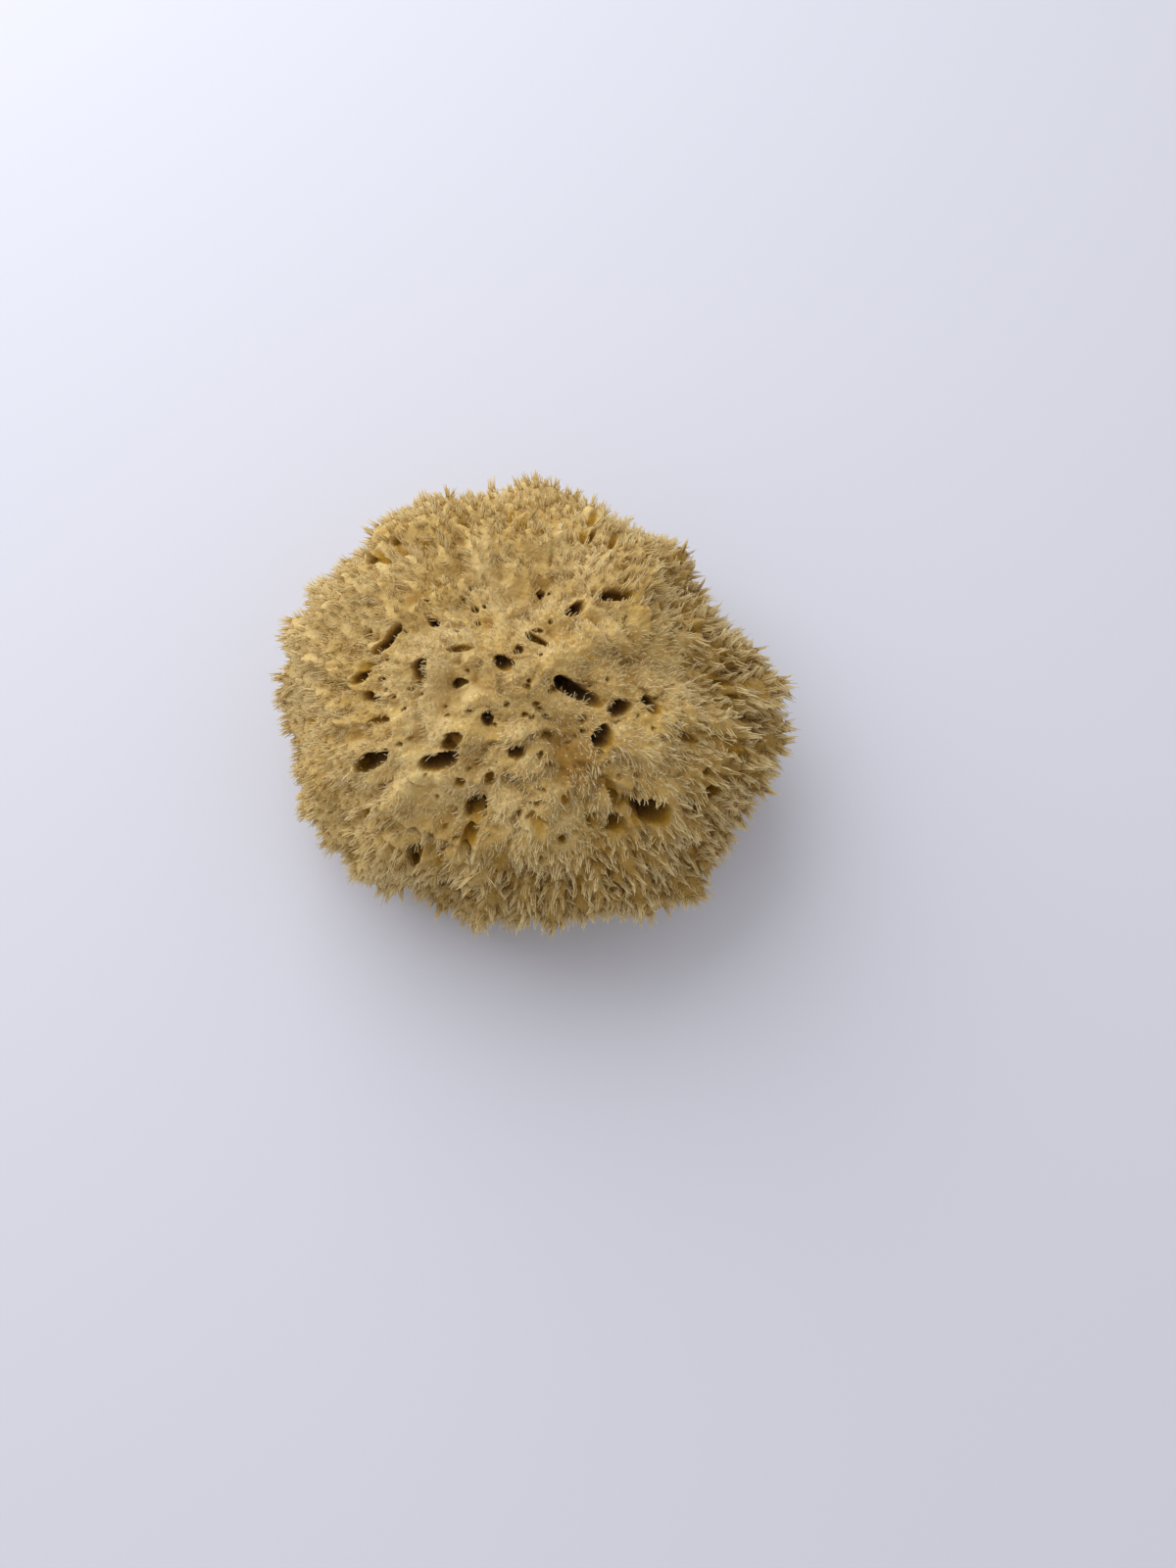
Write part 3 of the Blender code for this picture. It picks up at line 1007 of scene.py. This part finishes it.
def tuftMaterial():
    shader = Shader("spongeTufts")
    paler = shader.between(shader.fact("tip"), *furTones["paleFrom"])
    paler = paler * growing(furTones["paleByShade"], shader.fact("shade"))
    paler = paler * growing(furTones["paleByCoarse"], shader.fact("coarse"))
    colour = shader.blend(paler, spongeColour(shader), colours["cream"])
    return shader.finish(
        Base_Color=colour, Roughness=0.8,
        Normal=shader.bump(shader.clouds(furTones["bumpSize"]), furTones["bump"]),
        Sheen_Weight=0.2, Sheen_Roughness=0.5, Specular_IOR_Level=0.15,
    )


# Building

def raisePeaks(points, rootPlaces, headings, heights):
    # the body rises to a soft peak under each tuft
    tree = KDTree(len(rootPlaces))
    for index, place in enumerate(rootPlaces):
        tree.insert(place, index)
    tree.balance()
    peaks = np.zeros(len(points))
    pushes = np.zeros_like(points)
    for index, place in enumerate(points):
        for _, near, distance in tree.find_n(place, 2):
            share = max(0, 1 - distance / tufts["peakWidth"]) ** tufts["peakPower"]
            if share > 0:
                peaks[index] = max(peaks[index], share)
                pushes[index] += headings[near] * (share * heights[near])
    pushes[points[:, 2] < tufts["baseLevel"]] = 0
    return peaks, pushes


def pressPores(points, pores, pushes):
    # the pores push the body in along their own lines, under the upper lip, with round bottoms
    # each point also gets how much the pores brown it and paint shade on it, and whether it lies in a soft
    # dip
    poreShadesAndBrowns = np.zeros(len(points))
    dips = np.zeros(len(points))
    wallSize, lumps = poreSettings["walls"]
    walls = 1 + lumps * noiseAt(points / wallSize + shifts["walls"])
    scoop = poreSettings["scoop"]
    for pore in pores:
        share = mouthShare(points, pore)
        inside = share < 1
        inner = np.minimum(share, 1)
        soft = pore["depth"] < poreSettings["softDepth"]
        push = np.where(inside, (1 - inner ** 2) ** 2 if soft else np.sqrt(1 - inner ** 4), 0)
        rise = np.clip((points - pore["mouth"]) @ pore["upper"] / (pore["long"] / 2), -1, 1)
        # painted shade, stronger up the upper side
        poreShadeAndBrown = push * growing(poreSettings["shadeTone"], rise)
        push = push * (1 - scoop + scoop * rise)
        if soft:
            undercut = 0
            shadeTone = poreSettings["softShadeTone"]
            dips = np.maximum(dips, poreShadeAndBrown)
        else:
            undercut = poreSettings["undercut"]
            shadeTone = min(1, pore["depth"] / poreSettings["fullShadeDepth"])
            pushes[inside] *= poreSettings["peaksInside"]
        drop = push * pore["depth"] * walls
        pushes += drop[:, None] * pore["inward"] + (drop * push * undercut)[:, None] * pore["upper"]
        poreShadesAndBrowns = np.maximum(poreShadesAndBrowns, poreShadeAndBrown * shadeTone)
    return poreShadesAndBrowns, dips


pores = placePores()
seenCrown = seenPoints([relief["crown"]])[0][0]
print("pores", len(pores))

shape = bareBody(pores)
bodyPlaces = positionsOf(shape)
normals = np.array([vertex.normal for vertex in shape.verts])
print("bare body", len(shape.verts), "points", len(shape.faces), "faces")

roots = scatterRoots(bodyPlaces, pores)
rootPlaces = bodyPlaces[roots]
creases = creasesAt(unit(bodyPlaces - waistCentre))
headings, flows, lengths, isFur = layTufts(rootPlaces, normals[roots], creases[roots])
bald = baldAt(rootPlaces)
kept = ~coversAMouth(rootPlaces, headings, lengths, pores) & (bald < baldSpot["bare"])
roots, rootPlaces, headings, flows = roots[kept], rootPlaces[kept], headings[kept], flows[kept]
lengths, isFur, bald = lengths[kept], isFur[kept], bald[kept]
coarse = coarseAt(rootPlaces)
print("tufts", len(roots), "of them fur", int(isFur.sum()))

peakHeights = tufts["peakHeight"] * growing(tufts["peakGrowth"], coarse)
peaks, pushes = raisePeaks(bodyPlaces, rootPlaces, headings, peakHeights)
poreShadesAndBrowns, dips = pressPores(bodyPlaces, pores, pushes)
setPositions(shape, bodyPlaces + pushes)
furCover = furAt(bodyPlaces)
darkPatch = darkPatchAt(bodyPlaces)
bodyFacts = {
    # paler up the peaks and ochre between them: partly its own colour, partly painted shade in the valleys
    "tip": peaks * tufts["peakTone"],
    "creaseShade": creases,
    # coarse sets only the colour here: more painted shade towards the lower right, less in the soft dips
    "coarse": coarseAt(bodyPlaces) * furCover * (1 - felt["inDips"] * dips),
    "felt": 1 - felt["inFur"] * furCover,
    "poreShadeAndBrown": poreShadesAndBrowns,
    "bald": baldAt(bodyPlaces),
    "darkPatch": darkPatch,
}
bodyMesh = bpy.data.meshes.new("sponge_body")
bmesh.ops.recalc_face_normals(shape, faces=shape.faces)
shape.to_mesh(bodyMesh)
shape.free()
for key, values in bodyFacts.items():
    setAttribute(bodyMesh, key, values)
body = newPiece("sponge_body", bodyMesh, bodyMaterial())
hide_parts("sponge")
print("body", len(bodyMesh.polygons), "triangles")

# the fur in four joined pieces round the sponge, and the curls in one
prototypes = allPrototypes(furShapes) + allPrototypes(softShapes) + allPrototypes(curlShapes)
count = len(roots)
chooser = np.random.default_rng(tufts["seed"] + 2)
chosen = chooser.integers(0, furShapes["kinds"], count)
chosen[chooser.random(count) > coarse] += furShapes["kinds"]
chosen = np.where(isFur, chosen, 2 * furShapes["kinds"] + chooser.integers(0, curlShapes["kinds"], count))
shades = np.where(isFur, chooser.random(count), chooser.uniform(*tufts["curlShades"], count))
widths = tufts["width"] * np.random.default_rng(tufts["seed"] + 3).uniform(*tufts["widths"], count)
starts = rootPlaces + headings * (peakHeights[:, None] * tufts["startShare"])
bases = tuftBases(normals[roots], headings, flows)
furFacts = {
    "shade": shades,
    # painted shade in the creases, more in the coarse fur
    "creaseShade": creases[roots] * growing(tufts["creaseShadeTone"], coarse),
    "coarse": coarse,
    "poreShadeAndBrown": np.zeros(count),
    "bald": bald,
    "darkPatch": darkPatch[roots],
}
furMaterial = tuftMaterial()
quarter = ((np.degrees(np.arctan2(rootPlaces[:, 1], rootPlaces[:, 0])) + 45) % 360 // 90).astype(int)
group = np.where(isFur, quarter, 4)
for index, name in enumerate(("fur_right", "fur_far", "fur_left", "fur_near", "curls")):
    mine = group == index
    facts = {key: values[mine] for key, values in furFacts.items()}
    joinTufts(
        name, furMaterial, prototypes, chosen[mine], starts[mine], bases[mine],
        lengths[mine], widths[mine], facts,
    )

# Floor, light and camera

stageSettings = {
    "floorSize": 4,
    "floorColour": (0.73, 0.75, 0.86, 1),
    "floorRoughness": 0.7,
    "skyColour": (1.0, 0.98, 0.97, 1),
    "skyStrength": 0.58,
    "keyPower": 7.9,
    "keyPlace": (-0.46, 0.58, 0.54),
    "keySize": 1.15,
    "nearest": 0.01,
}


def addFloor():
    shape = bmesh.new()
    bmesh.ops.create_grid(shape, x_segments=1, y_segments=1, size=stageSettings["floorSize"] / 2)
    mesh = bpy.data.meshes.new("floor")
    shape.to_mesh(mesh)
    shape.free()
    shader = Shader("floorPaint")
    paint = shader.finish(
        Base_Color=stageSettings["floorColour"], Roughness=stageSettings["floorRoughness"],
    )
    mesh.materials.append(paint)
    floor = bpy.data.objects.new("floor", mesh)
    bpy.context.scene.collection.objects.link(floor)


def addKeyLight():
    light = bpy.data.lights.new("key", "AREA")
    light.energy = stageSettings["keyPower"]
    light.size = stageSettings["keySize"]
    lamp = bpy.data.objects.new("key", light)
    place = Vector(stageSettings["keyPlace"])
    lamp.location = place
    lamp.rotation_euler = (Vector(faceMiddle) - place).to_track_quat("-Z", "Y").to_euler()
    bpy.context.scene.collection.objects.link(lamp)


def addSky():
    world = bpy.data.worlds.new("paleSky")
    world.use_nodes = True
    background = world.node_tree.nodes["Background"]
    background.inputs["Color"].default_value = stageSettings["skyColour"]
    background.inputs["Strength"].default_value = stageSettings["skyStrength"]
    bpy.context.scene.world = world


def addCamera():
    camera = bpy.data.cameras.new("camera")
    width, height = photo["size"]
    camera.sensor_width = photo["filmLength"]
    camera.lens = photo["filmLength"] * photo["focalPixels"] / height
    camera.clip_start = stageSettings["nearest"]
    pitch = math.atan((height / 2 - photo["spongeAt"][1]) / photo["focalPixels"])
    yaw = math.atan((width / 2 - photo["spongeAt"][0]) / photo["focalPixels"])
    ahead, right, above = Vector(sight), Vector(faceAcross), Vector(faceUp)
    tip = Matrix.Rotation(-pitch, 3, right)
    ahead, above = tip @ ahead, tip @ above
    turn = Matrix.Rotation(-yaw, 3, above)
    ahead, right = turn @ ahead, turn @ right
    holder = bpy.data.objects.new("camera", camera)
    holder.matrix_world = Matrix.Translation(eye) @ Matrix((right, above, -ahead)).transposed().to_4x4()
    bpy.context.scene.collection.objects.link(holder)
    bpy.context.scene.camera = holder


addFloor()
addSky()
addKeyLight()
addCamera()
bpy.context.scene.view_settings.view_transform = "Standard"

print("stage set")
